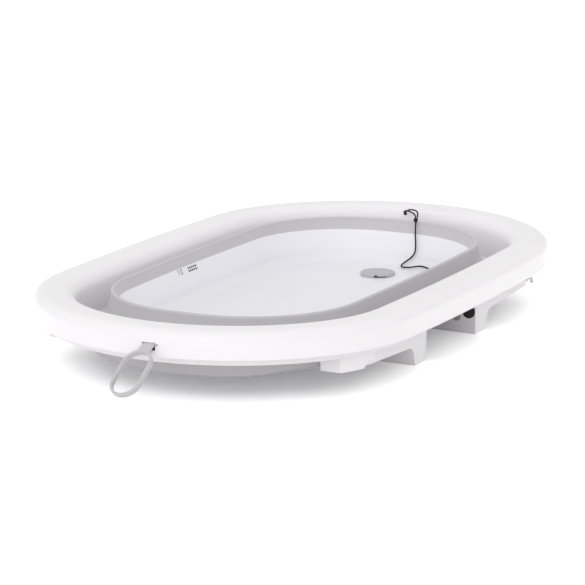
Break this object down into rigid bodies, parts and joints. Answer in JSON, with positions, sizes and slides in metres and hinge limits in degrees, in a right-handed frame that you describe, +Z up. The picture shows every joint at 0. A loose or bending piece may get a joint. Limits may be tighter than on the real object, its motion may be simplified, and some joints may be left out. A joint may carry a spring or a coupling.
{
  "type": "folding baby bathtub",
  "caption": "Folding baby bathtub, folded flat: wide white rim, pale basin on a soft grey folding wall, swing-out leg frames, floor drain with plug, tether cord and hanging loop.",
  "frame": {"origin": "middle of the folded tub's bounding box, on the surface that it rests on, under the bars of its leg frames", "axes": "+X along the tub towards the end with the drain, +Y across it, +Z up; the hanging loop is at the -X end"},
  "size_m": [0.8758, 0.4874, 0.0946],
  "materials": {
    "rim_plastic": "warm white polypropylene, smooth satin to gloss",
    "tray_plastic": "very pale lavender white polypropylene, smooth",
    "leg_plastic": "warm white polypropylene, fine matt",
    "soft_wall": "light grey thermoplastic elastomer, soft matt",
    "grey_plastic": "mid grey plastic, satin",
    "black_rubber": "black rubber, matt",
    "steel": "plain zinc-plated steel",
    "cord": "black braided cord"
  },
  "bodies": {
    "rim": {"rim_shell": "rim_plastic", "rim_under_ring": "rim_plastic", "ring_screws": "steel", "bracket_screws": "steel", "wall_anchor_band": "soft_wall", "hinge_bracket_near_left": "rim_plastic", "hinge_bracket_near_right": "rim_plastic", "hinge_bracket_far_left": "rim_plastic", "hinge_bracket_far_right": "rim_plastic", "hinge_pin_near_left": "leg_plastic", "hinge_pin_near_right": "leg_plastic", "hinge_pin_far_left": "leg_plastic", "hinge_pin_far_right": "leg_plastic", "hanger_pin": "steel", "tether_cord": "cord", "tether_loop": "cord", "tether_knots": "cord"},
    "tray": {"tray": "tray_plastic", "wall_inner_band": "soft_wall", "wall_fold_band": "soft_wall", "drain_flange": "grey_plastic", "drain_gasket": "black_rubber", "drain_nut": "grey_plastic"},
    "near_leg": {"near_leg_frame": "leg_plastic", "near_foot_pads": "black_rubber", "near_foot_caps": "grey_plastic"},
    "far_leg": {"far_leg_frame": "leg_plastic", "far_foot_pads": "black_rubber", "far_foot_caps": "grey_plastic"},
    "plug": {"drain_plug": "grey_plastic", "plug_seal": "black_rubber"},
    "hanger": {"hanger": "soft_wall"}
  },
  "joints": [
    {"name": "near_leg_fold", "type": "hinge", "parent": "rim", "child": "near_leg", "pos_m": [-0.22906, 0, 0.03805], "axis": [0, 1, 0], "range_deg": [0, 90]},
    {"name": "far_leg_fold", "type": "hinge", "parent": "rim", "child": "far_leg", "pos_m": [0.28494, 0, 0.03805], "axis": [0, -1, 0], "range_deg": [0, 90]},
    {"name": "tray_drop", "type": "slide", "parent": "rim", "child": "tray", "axis": [0, 0, -1], "range_m": [0, 0.114], "deforming": ["wall_fold_band"]},
    {"name": "drain_plug_lift", "type": "slide", "parent": "tray", "child": "plug", "axis": [0, 0, 1], "range_m": [0, 0.025]},
    {"name": "hanger_swing", "type": "hinge", "parent": "rim", "child": "hanger", "pos_m": [-0.38006, -0.015, 0.0716], "axis": [0, -1, 0], "range_deg": [-40, 20]}
  ],
  "couplings": [
    {"joint": "far_leg_fold", "follows": "near_leg_fold", "ratio": 1},
    {"joint": "tray_drop", "follows": "near_leg_fold", "m_per_rad": 0.07257}
  ]
}
